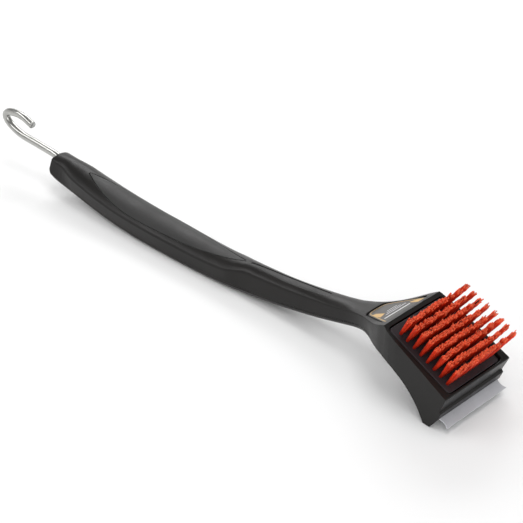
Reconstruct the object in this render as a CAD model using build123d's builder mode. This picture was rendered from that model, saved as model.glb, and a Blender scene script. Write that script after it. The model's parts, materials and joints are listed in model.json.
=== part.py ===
from build123d import *
from math import cos, radians, sin, sqrt, tan
import os

os.makedirs("parts", exist_ok=True)

# Grill cleaning brush, lying on its back. X runs from the handle's butt to the scraper, Y is across and
# Z is up. The origin is on the resting surface, at the middle of the overall length. Sizes in millimetres.

# ---- driving dimensions -------------------------------------------------------------------------
butt_x = -193.5            # rear end of the moulded handle
belly_rear_x = -62.0       # the flat of the belly, on which the handle lies
belly_front_x = -20.0
rear_bow_radius = 560.0    # underside behind the flat
front_bow_radius = 600.0   # underside in front of the flat
bow_rear_x = -187.0        # the underside follows the bow between these two
bow_front_x = 142.0
side_corner = 5.0          # rounding between the side and the underside
head_corner = 0.8          # the same rounding where the handle meets the head
wall = 3.0                 # moulded wall
seam_height = 5.0          # parting line above the underside
shell_joint_x = 178.0      # front end of the lower shell

head_x = 230.5             # middle of the head's working face
head_z = 45.2
head_lean = 25.3           # the working face leans forward by this angle, in degrees
head_rear = 35.7           # from the middle of the face to its rear edge
head_front = 34.6
head_rear_half = 31.6      # half width of the head at its rear edge
head_front_half = 37.0
well_rear = 32.4           # well for the brush cartridge
well_front = 32.6
well_half = 31.0
well_corner = 4.0
well_depth = 10.0
well_floor = 2.5
beam_rear = 22.0           # front beam that carries the scraper
blade_level = 21.5         # scraper's upper face below the working face
lip_level = 13.6           # a lip stands out across the front from here down

fit_gap = 0.3              # between the cartridge or the catch and the housing
row_count = 8
tuft_count = 13
row_pitch = 7.0
tuft_pitch = 4.1
tuft_length = 21.6         # above the platform; leaning tufts are longer, trimmed to the same height
tuft_root_radius = 1.3
tuft_tip_radius = 1.9
tuft_sink = 3.5            # how deep a tuft sits in its hole
platform_level = 0.5       # cartridge face below the rim
row_middle = 0.5           # middle of the eight rows, ahead of the middle of the face

foot_rear_x = 242.5        # the head's two feet stand on the resting surface
foot_front_x = 249.0
arch_middle = (228.0, 18.6)  # X and Z of the arch under the head
arch_top = (202.0, 33.2)

wire_radius = 3.4          # hanging hook
hook_bend = 7.5
section_step = 8.0         # distance between the handle's sections where its width hardly changes
fine_step = 3.5            # and where it changes quickly
quick_change = 0.045       # change of half width for each millimetre of length
crease_round = 1.3         # rounding along the crease between side and crown

face_plane = Plane(
    origin=(head_x, 0, head_z),
    x_dir=(cos(radians(head_lean)), 0, -sin(radians(head_lean))),
    z_dir=(sin(radians(head_lean)), 0, cos(radians(head_lean))),
)


def on_head(along, height):
    """X and Z of a point given along the working face and above it."""
    point = face_plane.from_local_coords((along, 0, height))
    return (point.X, point.Z)


def underside(x):
    """Height of the handle's underside at x."""
    if x < belly_rear_x:
        return rear_bow_radius - sqrt(rear_bow_radius**2 - (x - belly_rear_x) ** 2)
    if x > belly_front_x:
        return front_bow_radius - sqrt(front_bow_radius**2 - (x - belly_front_x) ** 2)
    return 0.0


head_rear_x, head_rear_top = on_head(-head_rear, 0)
head_rear_low = 33.9       # underside where the handle meets the head

# ---- sections of the handle: x, half width at the crease, half width below, underside, side height, crown
handle_stations = [
    (butt_x, 8.6, 11.8, underside(butt_x) + 2.2, 13.5, 2.0),
    (butt_x + 1.6, 9.2, 12.6, underside(butt_x + 1.6) + 0.8, 15.2, 2.6),
    (bow_rear_x, 9.4, 12.8, underside(bow_rear_x), 16.6, 3.2),
    (-179.0, 10.2, 12.8, underside(-179.0), 17.0, 4.4),
    (-171.0, 12.2, 12.6, underside(-171.0), 17.0, 5.2),
    (-162.0, 13.8, 12.6, underside(-162.0), 16.9, 5.7),
    (-120.0, 16.0, 14.0, underside(-120.0), 16.6, 6.3),
    (-66.0, 16.4, 14.6, underside(-66.0), 16.6, 6.6),
    (-20.0, 15.5, 14.2, underside(-20.0), 16.2, 6.4),
    (8.0, 14.6, 13.4, underside(8.0), 16.4, 6.0),
    (20.0, 14.0, 13.0, underside(20.0), 17.0, 5.6),
    (29.0, 11.9, 12.5, underside(29.0), 18.3, 5.0),
    (38.0, 9.9, 12.1, underside(38.0), 19.3, 4.6),
    (50.0, 9.5, 11.8, underside(50.0), 19.0, 4.4),
    (80.0, 9.3, 11.2, underside(80.0), 17.4, 4.2),
    (115.0, 9.4, 10.8, underside(115.0), 15.8, 3.6),
    (bow_front_x, 9.9, 10.8, underside(bow_front_x), 14.4, 2.6),
    (154.0, 11.2, 11.6, 25.8, 14.4, 1.6),
    (164.0, 14.0, 14.2, 28.8, 14.6, 1.0),
    (174.0, 19.2, 19.2, 31.6, 15.6, 0.7),
    (183.0, 25.0, 25.0, 33.4, 18.2, 0.5),
    (191.0, 29.3, 29.3, 34.2, 22.2, 0.4),
    (head_rear_x, head_rear_half, head_rear_half, head_rear_low, head_rear_top - head_rear_low, 0.3),
]


def handle_section(station, inset=0.0):
    """Closed section across the handle: flat underside, rounded lower corners, straight sides, a crown."""
    x, crease_half, low_half, low_z, side, crown = station
    top = crease_half - inset
    low = low_half - inset
    bottom_z = low_z + inset
    crease_z = low_z + side - inset
    crown_rise = crown - inset * 0.5 if crown > inset * 0.5 + 0.5 else crown
    corner = min(side_corner, head_corner + 0.13 * (head_rear_x - x)) - inset
    bend = corner * (1 - cos(radians(45)))
    bend_z = bottom_z + bend
    rounding = min(crease_round, 0.4 + 0.2 * crown)
    crown_radius = (top**2 + crown_rise**2) / (2 * crown_rise)
    crown_y = top - rounding
    crown_z = crease_z + crown_rise - crown_radius + sqrt(crown_radius**2 - crown_y**2)
    side_share = rounding / (crease_z - bottom_z - corner)
    side_y = top - (top - low) * side_share
    side_z = crease_z - rounding
    turn_y = side_y / 4 + top / 2 + crown_y / 4
    turn_z = side_z / 4 + crease_z / 2 + crown_z / 4
    with BuildSketch(Plane.YZ.offset(x)) as section:
        with BuildLine():
            Line((-low + corner, bottom_z), (low - corner, bottom_z))
            ThreePointArc((low - corner, bottom_z), (low - bend, bend_z), (low, bottom_z + corner))
            Line((low, bottom_z + corner), (side_y, side_z))
            ThreePointArc((side_y, side_z), (turn_y, turn_z), (crown_y, crown_z))
            ThreePointArc((crown_y, crown_z), (0, crease_z + crown_rise), (-crown_y, crown_z))
            ThreePointArc((-crown_y, crown_z), (-turn_y, turn_z), (-side_y, side_z))
            Line((-side_y, side_z), (-low, bottom_z + corner))
            ThreePointArc((-low, bottom_z + corner), (-low + bend, bend_z), (-low + corner, bottom_z))
        make_face()
    return section.sketch


def slope_between(first, last):
    """Slope of every station value along X from one station to another."""
    return [(b - a) / (last[0] - first[0]) for a, b in zip(first, last)]


def on_bow(station):
    """The station with its underside put exactly on the bow, where it lies on the bow."""
    x, crease_half, low_half, low_z, side, crown = station
    if bow_rear_x <= x <= bow_front_x:
        low_z = underside(x)
    return (x, crease_half, low_half, low_z, side, crown)


def stations_between(stations):
    """Stations close together, on smooth curves through the given ones."""
    ends = [stations[0]] + list(stations) + [stations[-1]]
    slopes = [slope_between(before, after) for before, after in zip(ends, ends[2:])]
    filled = []
    for i, (here, ahead) in enumerate(zip(stations, stations[1:])):
        length = ahead[0] - here[0]
        step = fine_step if abs(ahead[1] - here[1]) > quick_change * length else section_step
        parts = max(1, round(length / step))
        for part in range(parts):
            t = part / parts
            values = zip(here, slopes[i], ahead, slopes[i + 1])
            station = [
                (1 + 2 * t) * (1 - t) ** 2 * a
                + t * (1 - t) ** 2 * length * da
                + t**2 * (3 - 2 * t) * b
                + t**2 * (t - 1) * length * db
                for a, da, b, db in values
            ]
            filled.append(on_bow(station))
    return filled + [stations[-1]]


def handle_sections(stations, inset=0.0):
    """Sections to loft the handle through, close enough together for straight rulings between them."""
    return [handle_section(station, inset) for station in stations_between(stations)]


# ---- outer form of handle and neck, before it is parted into shells ----------------------------
with BuildPart() as handle_form:
    loft(handle_sections(handle_stations), ruled=True)

# ---- outer form of the head ---------------------------------------------------------------------
rear_top = (head_rear_x, head_rear_top)
arch_rear = (head_rear_x, head_rear_low)

with BuildPart() as head_form:
    with BuildSketch(Plane.XZ) as head_side:
        with BuildLine():
            Polyline(
                arch_rear,
                rear_top,
                on_head(head_front, 0),
                on_head(head_front + 1.0, -lip_level),
                on_head(head_front + 2.8, -lip_level - 1.0),
                on_head(head_front + 3.4, -blade_level),
                on_head(head_front + 2.2, -29.0),
                (foot_front_x, 0),
                (foot_rear_x, 0),
            )
            ThreePointArc((foot_rear_x, 0), arch_middle, arch_top)
            Line(arch_top, arch_rear)
        make_face()
    extrude(amount=50, both=True)
    with BuildSketch(Plane.XY) as head_plan:
        front_x = on_head(head_front, 0)[0]
        with BuildLine():
            Polyline(
                (head_rear_x, -head_rear_half),
                (head_rear_x + 2.8, -head_rear_half - 0.9),
                (head_rear_x + 7.3, -head_rear_half - 1.9),
                (head_rear_x + 14.0, -head_rear_half - 2.7),
                (front_x, -head_front_half),
                (front_x, head_front_half),
                (head_rear_x + 14.0, head_rear_half + 2.7),
                (head_rear_x + 7.3, head_rear_half + 1.9),
                (head_rear_x + 2.8, head_rear_half + 0.9),
                (head_rear_x, head_rear_half),
                close=True,
            )
        make_face()
    extrude(amount=80, mode=Mode.INTERSECT)
    fillet(head_form.edges().filter_by(Axis.Y).group_by(Axis.X)[-1], 1.2)

with BuildPart() as brush_form:
    add(handle_form.part)
    add(head_form.part)

# ---- hollow of the handle, with a screw post at each shell screw --------------------------------
shell_screw_xs = (-140.0, -72.0, 4.0, 92.0)
post_radius = 4.5
hollow_stations = [station for station in handle_stations if -190 < station[0] < 145]

with BuildPart() as handle_hollow:
    loft(handle_sections(hollow_stations, wall), ruled=True)
    with Locations([(x, 0, 0) for x in shell_screw_xs]):
        Cylinder(post_radius, 120, mode=Mode.SUBTRACT)

# ---- hollow of the head, open below, with posts for the cover screws ----------------------------
cover_screw_spots = [(207.0, 22.0), (207.0, -22.0), (224.0, 22.0), (224.0, -22.0)]
hollow_half = 29.5
hollow_rear = on_head(-25.5, -well_depth - well_floor)

with BuildPart() as head_hollow:
    with BuildSketch(Plane.XZ) as hollow_side:
        with BuildLine():
            Polyline(
                hollow_rear,
                on_head(beam_rear, -well_depth - well_floor),
                on_head(beam_rear, -blade_level),
                on_head(70, -blade_level),
                (300, -20),
                (hollow_rear[0], -20),
                close=True,
            )
        make_face()
    extrude(amount=hollow_half, both=True)
    with Locations([(x, y, 0) for x, y in cover_screw_spots]):
        Cylinder(post_radius, 120, mode=Mode.SUBTRACT)

# The scraper's seat runs the full width between the side walls.
scraper_half = 33.6
with BuildPart() as scraper_seat:
    with BuildSketch(face_plane.offset(-blade_level)):
        with Locations((50, 0)):
            Rectangle(60, 2 * scraper_half + 0.4)
    extrude(amount=-30)

# ---- parting surface between the shells ---------------------------------------------------------
seam_xs = [butt_x - 5, -160, -120, belly_rear_x, belly_front_x, 20, 60, 100, 135]
seam_points = [(x, underside(x) + seam_height) for x in seam_xs] + [(160, 32.6), (shell_joint_x, 37.0)]

with BuildPart() as below_seam:
    with BuildSketch(Plane.XZ):
        with BuildLine():
            Spline(seam_points)
            Polyline(seam_points[-1], (shell_joint_x, -20), (butt_x - 5, -20), seam_points[0])
        make_face()
    extrude(amount=50, both=True)

# ---- hanging hook -------------------------------------------------------------------------------
hook_route = [
    (-163.0, 20.6),
    (-198.0, 30.4),
    (-246.0, 32.0),
    (-266.0, 38.8),
    (-262.6, 51.0),
    (-240.0, 51.8),
    (-226.0, 47.8),
]
pin_x = -176.0
pin_z = 24.2
pin_radius = 1.25
pin_half = 10.4

with BuildPart() as hanging_hook:
    with BuildLine(Plane.XZ) as hook_line:
        FilletPolyline(*hook_route, radius=hook_bend)
    with BuildSketch(Plane(origin=hook_line.line @ 0, z_dir=hook_line.line % 0)):
        Circle(wire_radius)
    sweep()
    with Locations(Plane.XZ):
        with Locations((pin_x, pin_z)):
            Cylinder(pin_radius, 60, mode=Mode.SUBTRACT)
    with Locations((hook_route[-1][0], 0, hook_route[-1][1])):
        Sphere(wire_radius)
hanging_hook.part.label = "hanging_hook"
export_step(hanging_hook.part, "parts/hanging_hook.step")

with BuildPart() as hook_channel:
    with BuildLine(Plane.XZ) as channel_line:
        FilletPolyline(*hook_route[:3], radius=hook_bend)
    with BuildSketch(Plane(origin=channel_line.line @ 0, z_dir=channel_line.line % 0)):
        Circle(wire_radius + 0.1)
    sweep()

with BuildPart() as hook_pin:
    with BuildSketch(Plane.XZ.offset(-pin_half)):
        with Locations((pin_x, pin_z)):
            Circle(pin_radius - 0.02)
    extrude(amount=2 * pin_half)
hook_pin.part.label = "hook_pin"
export_step(hook_pin.part, "parts/hook_pin.step")

# ---- soft grip inlay and neck strip, sunk into the crown ----------------------------------------
inlay_depth = 2.0
inlay_half_outline = [
    (-154.0, 0.8),
    (-134.0, 7.6),
    (-104.0, 12.6),
    (-66.0, 12.8),
    (-18.0, 10.0),
    (12.0, 5.2),
    (31.0, 0.8),
]
strip_depth = 1.8
strip_sink = 0.6
strip_half_outline = [(38.0, 0.8), (60.0, 3.0), (86.0, 3.9), (120.0, 2.4)]


def almond(half_outline, gap):
    """Sketch of a shape with the same curve on both sides, narrower and shorter by gap at every side."""
    first_x, last_x = half_outline[0][0], half_outline[-1][0]
    far_side = [(min(max(x, first_x + gap), last_x - gap), y - gap) for x, y in half_outline]
    near_side = [(x, -y) for x, y in reversed(far_side)]
    with BuildSketch(Plane.XY.offset(60)) as shape:
        with BuildLine():
            Spline(far_side)
            Line(far_side[-1], near_side[0])
            Spline(near_side)
            Line(near_side[-1], far_side[0])
        make_face()
    return shape.sketch


def crown_layer(half_outline, gap, sink, depth):
    """Solid slice of the handle's crown inside an outline, from sink down to depth below the surface."""
    with BuildPart() as layer:
        add(handle_form.part.moved(Location((0, 0, -sink))))
        extrude(almond(half_outline, gap), amount=-60, mode=Mode.INTERSECT)
        add(handle_form.part.moved(Location((0, 0, -depth))), mode=Mode.SUBTRACT)
    return layer.part


groove = 0.35
with BuildPart() as grip_inlay:
    add(crown_layer(inlay_half_outline, groove, 0, inlay_depth))
grip_inlay.part.label = "grip_inlay"
export_step(grip_inlay.part, "parts/grip_inlay.step")

with BuildPart() as neck_strip:
    add(crown_layer(strip_half_outline, groove / 2, strip_sink, strip_depth))
neck_strip.part.label = "neck_strip"
export_step(neck_strip.part, "parts/neck_strip.step")

# ---- nameplate on the shoulder between neck and well --------------------------------------------
plate_rear = (164.5, 43.4)
plate_front = (194.6, 57.4)
plate_slope = Vector(plate_front[0] - plate_rear[0], 0, plate_front[1] - plate_rear[1])
plate_plane = Plane(
    origin=((plate_front[0] + plate_rear[0]) / 2, 0, (plate_front[1] + plate_rear[1]) / 2),
    x_dir=plate_slope.normalized(),
    z_dir=(-plate_slope.Z, 0, plate_slope.X),
)
plate_length = plate_slope.length
plate_thickness = 0.8
plate_rear_half = 11.6
plate_front_half = 26.5
plate_rear_corner = 5.0
plate_front_corner = 3.0


def plate_outline(gap):
    """Sketch of the nameplate: wide at the front, narrow at the neck, with rounded corners."""
    half = plate_length / 2 - gap
    with BuildSketch(plate_plane) as outline:
        with BuildLine():
            Polyline(
                (-half, -plate_rear_half + gap),
                (half, -plate_front_half + gap),
                (half, plate_front_half - gap),
                (-half, plate_rear_half - gap),
                close=True,
            )
        make_face()
        fillet(outline.vertices().group_by(Axis.X)[0], plate_rear_corner)
        fillet(outline.vertices().group_by(Axis.X)[-1], plate_front_corner)
    return outline.sketch


with BuildPart() as nameplate:
    extrude(plate_outline(0.15), amount=-plate_thickness)
nameplate.part.label = "nameplate"
export_step(nameplate.part, "parts/nameplate.step")

# ---- release catch at the far front corner of the well ------------------------------------------
catch_rear = 8.0
catch_front = 31.4
catch_corner = 2.0
catch_inner = 26.8
catch_outer = 29.0
catch_travel = 1.5
catch_top = -1.6
stem_rear = 10.0
stem_front = 19.0
flange_inner = 24.6        # the flange under the floor keeps the catch in its slot
flange_outer = 27.8

with BuildPart() as release_catch:
    with BuildSketch(face_plane.offset(catch_top)) as catch_top_view:
        with Locations(((catch_rear + catch_front) / 2, (catch_inner + catch_outer) / 2)):
            Rectangle(catch_front - catch_rear, catch_outer - catch_inner)
        fillet(catch_top_view.vertices().group_by(Axis.X)[-1].sort_by(Axis.Y)[-1], catch_corner)
    extrude(amount=-(well_depth + catch_top - fit_gap))
    with BuildSketch(face_plane.offset(-well_depth + fit_gap)):
        with Locations(((stem_rear + stem_front) / 2, (catch_inner + catch_outer) / 2)):
            Rectangle(stem_front - stem_rear, catch_outer - catch_inner - 2 * fit_gap)
    extrude(amount=-(well_floor + 2 * fit_gap))
    with BuildSketch(face_plane.offset(-well_depth - well_floor - fit_gap)):
        with Locations(((stem_rear + stem_front) / 2, (flange_inner + flange_outer) / 2)):
            Rectangle(stem_front - stem_rear + 2.0, flange_outer - flange_inner)
    extrude(amount=-1.5)
release_catch.part.label = "release_catch"
export_step(release_catch.part, "parts/release_catch.step")

# ---- screws -------------------------------------------------------------------------------------
screw_head_radius = 3.3
screw_head_height = 2.2
screw_radius = 1.5
bore_radius = 1.55
bore_reach = 20.0          # a head's bore runs out through the underside
head_gap = 0.3
shell_screw_length = 12.0
shell_screw_depth = 2.6    # seats above the underside
cover_screw_length = 7.0
cover_screw_depth = 2.0
arch_slope = 0.16          # fall of the arch ahead of its top
arch_curve = 0.022
FROM_BELOW = (Align.CENTER, Align.CENTER, Align.MIN)
FROM_ABOVE = (Align.CENTER, Align.CENTER, Align.MAX)


def shell_screw_seat(x):
    """Height of the seat of a shell screw at x."""
    return underside(x) + shell_screw_depth


def cover_screw_seat(x):
    """Height of the seat of a cover screw at x, above the arch under the head."""
    past_top = max(0.0, x - arch_top[0])
    return arch_top[1] + cover_screw_depth - arch_slope * past_top - arch_curve * past_top**2


def screw(length, radius=screw_radius, head_radius=screw_head_radius, head_height=screw_head_height):
    """Pan-head screw with a cross recess; its seat is at Z 0, its shank goes up and its head down."""
    with BuildPart() as pan_screw:
        with BuildSketch():
            Circle(radius)
        extrude(amount=length)
        with BuildSketch():
            Circle(head_radius)
        extrude(amount=-head_height)
        fillet(pan_screw.edges().filter_by(GeomType.CIRCLE).group_by(Axis.Z)[0], head_height * 0.35)
        with BuildSketch(Plane.XY.offset(-head_height)):
            Rectangle(head_radius, head_radius * 0.25)
            Rectangle(head_radius * 0.25, head_radius)
        extrude(amount=head_height * 0.55, mode=Mode.SUBTRACT)
    return pan_screw.part


with BuildPart() as shell_screws:
    for x in shell_screw_xs:
        add(screw(shell_screw_length).moved(Location((x, 0, shell_screw_seat(x)))))
shell_screws.part.label = "shell_screws"
export_step(shell_screws.part, "parts/shell_screws.step")

scraper_screw_ys = (-22.0, 0.0, 22.0)
scraper_screw_along = 30.0
with BuildPart() as scraper_screw_bores:
    with BuildSketch(face_plane.offset(-blade_level)):
        with Locations([(scraper_screw_along, y) for y in scraper_screw_ys]):
            Circle(screw_radius + 0.02)
    extrude(amount=6.0)

with BuildPart() as shell_screw_bores:
    for x in shell_screw_xs:
        with Locations((x, 0, shell_screw_seat(x))):
            Cylinder(bore_radius, shell_screw_length + 1.0, align=FROM_BELOW)
            Cylinder(screw_head_radius + head_gap, bore_reach, align=FROM_ABOVE)

with BuildPart() as cover_screws:
    for x, y in cover_screw_spots:
        add(screw(cover_screw_length).moved(Location((x, y, cover_screw_seat(x)))))
cover_screws.part.label = "cover_screws"
export_step(cover_screws.part, "parts/cover_screws.step")

with BuildPart() as cover_screw_bores:
    for x, y in cover_screw_spots:
        with Locations((x, y, cover_screw_seat(x))):
            Cylinder(bore_radius, cover_screw_length + 1.0, align=FROM_BELOW)
            Cylinder(screw_head_radius + head_gap, bore_reach, align=FROM_ABOVE)

# ---- cover under the head, following the arch ---------------------------------------------------
cover_gap = 0.2
cover_front_x = 236.5
cover_rise = 3.2           # thickness at the cover's rear end


def cover_profile(gap):
    """Side view of the cover, grown by gap on its inner side and at both ends."""
    inner_rear = (arch_top[0], arch_top[1] + cover_rise + gap)
    inner_middle = (arch_middle[0] + 2.4 + gap, arch_middle[1] + 2.4 + gap)
    inner_front = (foot_rear_x + 3.0 + gap, 0)
    with BuildSketch(Plane.XZ) as profile:
        with BuildLine():
            ThreePointArc((foot_rear_x, 0), arch_middle, arch_top)
            Line(arch_top, inner_rear)
            ThreePointArc(inner_rear, inner_middle, inner_front)
            Line(inner_front, (foot_rear_x, 0))
        make_face()
        with Locations(((arch_top[0] + cover_front_x) / 2 + cover_gap, 25)):
            Rectangle(cover_front_x - arch_top[0] + 2 * gap - cover_gap, 80, mode=Mode.INTERSECT)
    return profile.sketch


with BuildPart() as cover_space:
    extrude(cover_profile(cover_gap), amount=hollow_half, both=True)

with BuildPart() as head_cover:
    extrude(cover_profile(0), amount=hollow_half - cover_gap, both=True)
    add(cover_screw_bores.part, mode=Mode.SUBTRACT)
head_cover.part.label = "head_cover"
export_step(head_cover.part, "parts/head_cover.step")

# ---- upper shell: handle, neck and head housing in one moulding ---------------------------------
catch_slot_outer = catch_outer + catch_travel + 0.1

with BuildPart() as upper_shell:
    add(brush_form.part)
    add(below_seam.part, mode=Mode.SUBTRACT)
    add(handle_hollow.part, mode=Mode.SUBTRACT)
    add(head_hollow.part, mode=Mode.SUBTRACT)
    add(scraper_seat.part, mode=Mode.SUBTRACT)
    with BuildSketch(face_plane):
        with Locations(((well_front - well_rear) / 2, 0)):
            RectangleRounded(well_front + well_rear, 2 * well_half, well_corner)
    extrude(amount=-well_depth, mode=Mode.SUBTRACT)
    with BuildSketch(face_plane.offset(-well_depth)):
        with Locations(((stem_rear + stem_front) / 2, (catch_inner + catch_slot_outer) / 2)):
            Rectangle(stem_front - stem_rear + 2 * fit_gap, catch_slot_outer - catch_inner)
    extrude(amount=-(well_floor + 2 * fit_gap), mode=Mode.SUBTRACT)
    add(crown_layer(inlay_half_outline, 0, -2, inlay_depth), mode=Mode.SUBTRACT)
    add(crown_layer(strip_half_outline, 0, -2, strip_depth), mode=Mode.SUBTRACT)
    extrude(plate_outline(0), amount=20, mode=Mode.SUBTRACT)
    extrude(plate_outline(0), amount=-plate_thickness, mode=Mode.SUBTRACT)
    add(hook_channel.part, mode=Mode.SUBTRACT)
    add(hook_pin.part, mode=Mode.SUBTRACT)
    add(shell_screw_bores.part, mode=Mode.SUBTRACT)
    add(scraper_screw_bores.part, mode=Mode.SUBTRACT)
    add(cover_space.part, mode=Mode.SUBTRACT)
    add(cover_screw_bores.part, mode=Mode.SUBTRACT)
upper_shell.part.label = "upper_shell"
export_step(upper_shell.part, "parts/upper_shell.step")

# ---- lower shell of the handle ------------------------------------------------------------------
with BuildPart() as lower_shell:
    add(handle_form.part)
    add(below_seam.part, mode=Mode.INTERSECT)
    add(handle_hollow.part, mode=Mode.SUBTRACT)
    add(hook_channel.part, mode=Mode.SUBTRACT)
    add(shell_screw_bores.part, mode=Mode.SUBTRACT)
lower_shell.part.label = "lower_shell"
export_step(lower_shell.part, "parts/lower_shell.step")

# ---- scraper blade, clamp bar and screws --------------------------------------------------------
blade_thickness = 0.9
blade_rear = 24.0
blade_root = 38.5
blade_tip = 46.8
blade_tip_half = 35.0
bar_front = 36.5
bar_height = 5.0

with BuildPart() as scraper_blade:
    with BuildSketch(face_plane.offset(-blade_level)):
        with BuildLine():
            Polyline((blade_root, scraper_half), (blade_rear, scraper_half), (blade_rear, -scraper_half))
            Line((blade_rear, -scraper_half), (blade_root, -scraper_half))
            ThreePointArc(
                (blade_root, -scraper_half),
                ((blade_root + blade_tip) / 2, -scraper_half + 0.6),
                (blade_tip, -blade_tip_half),
            )
            Line((blade_tip, -blade_tip_half), (blade_tip, blade_tip_half))
            ThreePointArc(
                (blade_tip, blade_tip_half),
                ((blade_root + blade_tip) / 2, scraper_half - 0.6),
                (blade_root, scraper_half),
            )
        make_face()
        with Locations([(scraper_screw_along, y) for y in scraper_screw_ys]):
            Circle(1.8, mode=Mode.SUBTRACT)
    extrude(amount=-blade_thickness)
scraper_blade.part.label = "scraper_blade"
export_step(scraper_blade.part, "parts/scraper_blade.step")

bar_top = -blade_level - blade_thickness
with BuildPart() as scraper_bar:
    with BuildSketch(face_plane.offset(bar_top)):
        with Locations(((blade_rear + bar_front) / 2, 0)):
            Rectangle(bar_front - blade_rear, 2 * scraper_half - 0.4)
    extrude(amount=-bar_height)
    chamfer(scraper_bar.edges().filter_by(Axis.Y).group_by(Axis.X)[-1], 1.0)
    with BuildSketch(face_plane.offset(bar_top)):
        with Locations([(scraper_screw_along, y) for y in scraper_screw_ys]):
            Circle(1.8)
    extrude(amount=-bar_height, mode=Mode.SUBTRACT)
    with BuildSketch(face_plane.offset(bar_top - bar_height)):
        with Locations([(scraper_screw_along, y) for y in scraper_screw_ys]):
            Circle(screw_head_radius + 0.3)
    extrude(amount=screw_head_height + 0.3, mode=Mode.SUBTRACT)
scraper_bar.part.label = "scraper_bar"
export_step(scraper_bar.part, "parts/scraper_bar.step")

scraper_screw = screw(9.0)
with BuildPart() as scraper_screws:
    for y in scraper_screw_ys:
        seat = face_plane.offset(bar_top - bar_height + screw_head_height + 0.3).location
        add(scraper_screw.moved(seat * Location((scraper_screw_along, y, 0))))
scraper_screws.part.label = "scraper_screws"
export_step(scraper_screws.part, "parts/scraper_screws.step")

# ---- brush cartridge ----------------------------------------------------------------------------
base_bottom = -well_depth + fit_gap
platform_thickness = 5.5
shell_wall = 2.0
back_plate_height = 1.5
well_gap = 0.9
platform_edge = 0.6        # rounding around the platform
notch_rear = catch_rear - fit_gap
notch_inner = catch_inner - fit_gap
back_screw_spots = [(-20.5, -21.0), (-20.5, 21.0), (21.5, -21.0), (21.5, 21.0)]
back_screw_radius = 1.0
back_screw_head = 1.9
back_screw_length = 3.6
boss_radius = 2.4
boss_height = 2.7          # the screw bosses reach up into the platform
boss_hole_depth = 5.2


def level_plane(height):
    """Plane parallel to the working face."""
    return face_plane.offset(height)


def cartridge_outline(height, inset):
    """Footprint of the cartridge at a level: the well less its clearance, with a notch for the catch."""
    rear = well_rear - well_gap - inset
    front = well_front - well_gap - inset
    half = well_half - well_gap - inset
    with BuildSketch(level_plane(height)) as outline:
        with BuildLine():
            Polyline(
                (-rear, -half),
                (front, -half),
                (front, notch_inner - inset),
                (notch_rear - inset, notch_inner - inset),
                (notch_rear - inset, half),
                (-rear, half),
                close=True,
            )
        make_face()
        well_corners = outline.vertices().group_by(Axis.Y)
        fillet(well_corners[0] + well_corners[-1].sort_by(Axis.X)[:1], well_corner - well_gap - inset)
    return outline.sketch


row_alongs = [row_middle + (row - (row_count - 1) / 2) * row_pitch for row in range(row_count)]
tuft_ys = [(tuft - (tuft_count - 1) / 2) * tuft_pitch for tuft in range(tuft_count)]
forward_lean = 4.0
splay = 2.25               # the last four tufts on the far side lean out by this times their number squared
staple_height = 1.2


def side_lean(tuft):
    """Sideways lean of a tuft in its row, in degrees, away from the middle."""
    far_step = max(0, tuft - (tuft_count - 5))
    near_step = max(0, 1 - tuft)
    return splay * far_step**2 - forward_lean * near_step


def tuft_direction(tuft):
    """Vector along a tuft, as long as the tuft is for each millimetre it stands above the platform."""
    forward = face_plane.x_dir * tan(radians(forward_lean))
    sideways = face_plane.y_dir * tan(radians(side_lean(tuft)))
    return face_plane.z_dir + forward + sideways


def tuft_plane(row, tuft):
    """Plane at the mouth of a tuft's hole, parallel to the working face."""
    return Plane(
        origin=face_plane.from_local_coords((row_alongs[row], tuft_ys[tuft], -platform_level)),
        x_dir=face_plane.x_dir,
        z_dir=face_plane.z_dir,
    )


bristle_rows = []
for row in range(row_count):
    with BuildPart() as bristle_row:
        for tuft in range(tuft_count):
            mouth = tuft_plane(row, tuft)
            with Locations(mouth):
                Cylinder(tuft_root_radius, tuft_sink, align=(Align.CENTER, Align.CENTER, Align.MAX))
            direction = tuft_direction(tuft)
            with Locations(Plane(origin=mouth.origin, z_dir=direction)):
                Cone(
                    tuft_root_radius,
                    tuft_tip_radius,
                    tuft_length * direction.length,
                    align=(Align.CENTER, Align.CENTER, Align.MIN),
                )
    bristle_row.part.label = f"bristle_row_{row + 1}"
    export_step(bristle_row.part, f"parts/bristle_row_{row + 1}.step")
    bristle_rows.append(bristle_row.part)

with BuildPart() as tuft_staples:
    for row in range(row_count):
        for tuft in range(tuft_count):
            with Locations(tuft_plane(row, tuft).offset(-tuft_sink)):
                Box(0.5, 2.0, staple_height, align=(Align.CENTER, Align.CENTER, Align.MAX))
tuft_staples.part.label = "tuft_staples"
export_step(tuft_staples.part, "parts/tuft_staples.step")

back_screw = screw(back_screw_length, back_screw_radius, back_screw_head, 1.2)
back_screw_seat = base_bottom + 1.3
with BuildPart() as back_screws:
    for along, y in back_screw_spots:
        seat = level_plane(back_screw_seat).location * Location((along, y, 0))
        add(back_screw.moved(seat))
back_screws.part.label = "back_screws"
export_step(back_screws.part, "parts/back_screws.step")

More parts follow.
